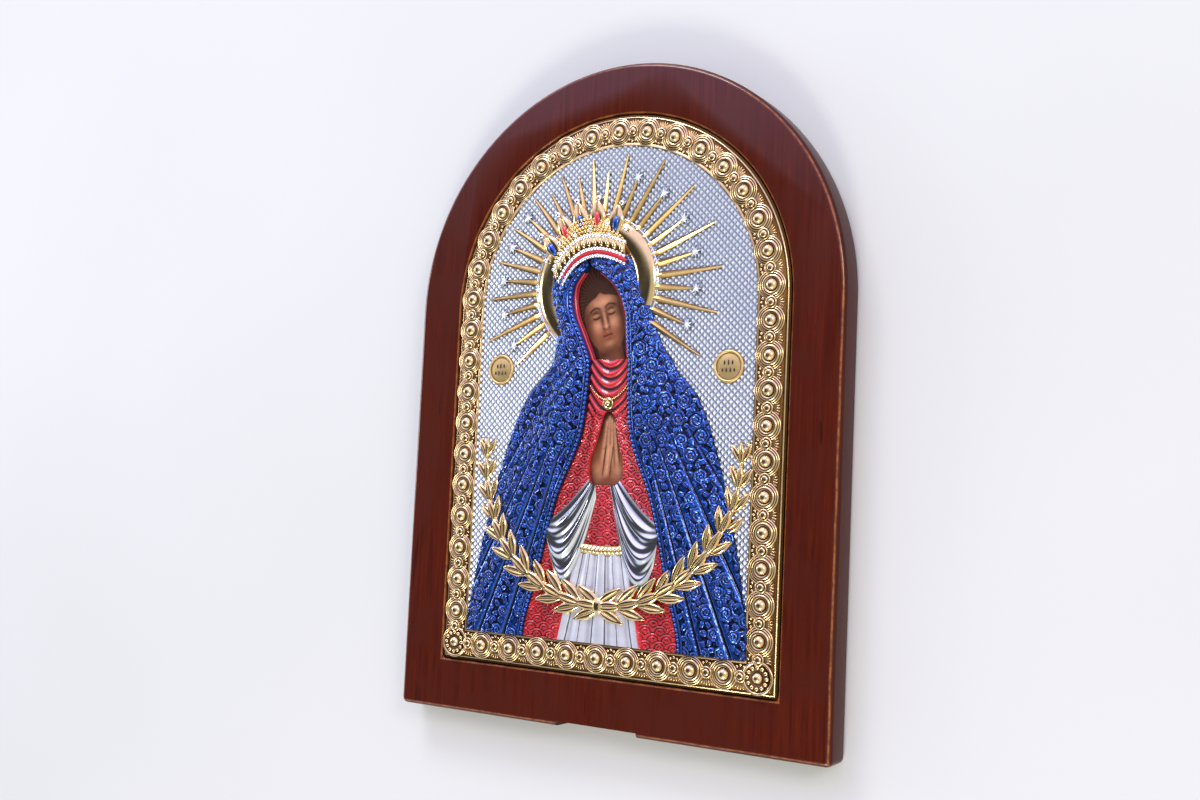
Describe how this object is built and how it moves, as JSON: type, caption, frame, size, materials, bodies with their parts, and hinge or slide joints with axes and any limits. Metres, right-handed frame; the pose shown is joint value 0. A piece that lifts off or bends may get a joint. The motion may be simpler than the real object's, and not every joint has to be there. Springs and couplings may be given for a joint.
{
  "type": "icon panel",
  "caption": "Arched devotional panel: stained hardwood board with a routed pocket holding a painted picture under an embossed metal cover with a gilt border.",
  "frame": {"origin": "middle of the outline on the plane of the back, which lies on the ground", "axes": "+Z out of the picture, +Y up the panel to the top of the arch, +X to the right as seen from the front"},
  "size_m": [0.2, 0.272, 0.0195],
  "materials": {
    "stained_wood": "mahogany-stained hardwood under a satin lacquer, rubbed paler at the arrises",
    "painted_picture": "thin wooden picture panel painted in satin brown flesh tones",
    "embossed_metal": "thin embossed silver-toned sheet with a gilt border and rays and blue and red translucent lacquer"
  },
  "bodies": {
    "root": {"wood_board": "stained_wood", "painted_panel": "painted_picture", "icon_plate": "embossed_metal"}
  },
  "joints": []
}
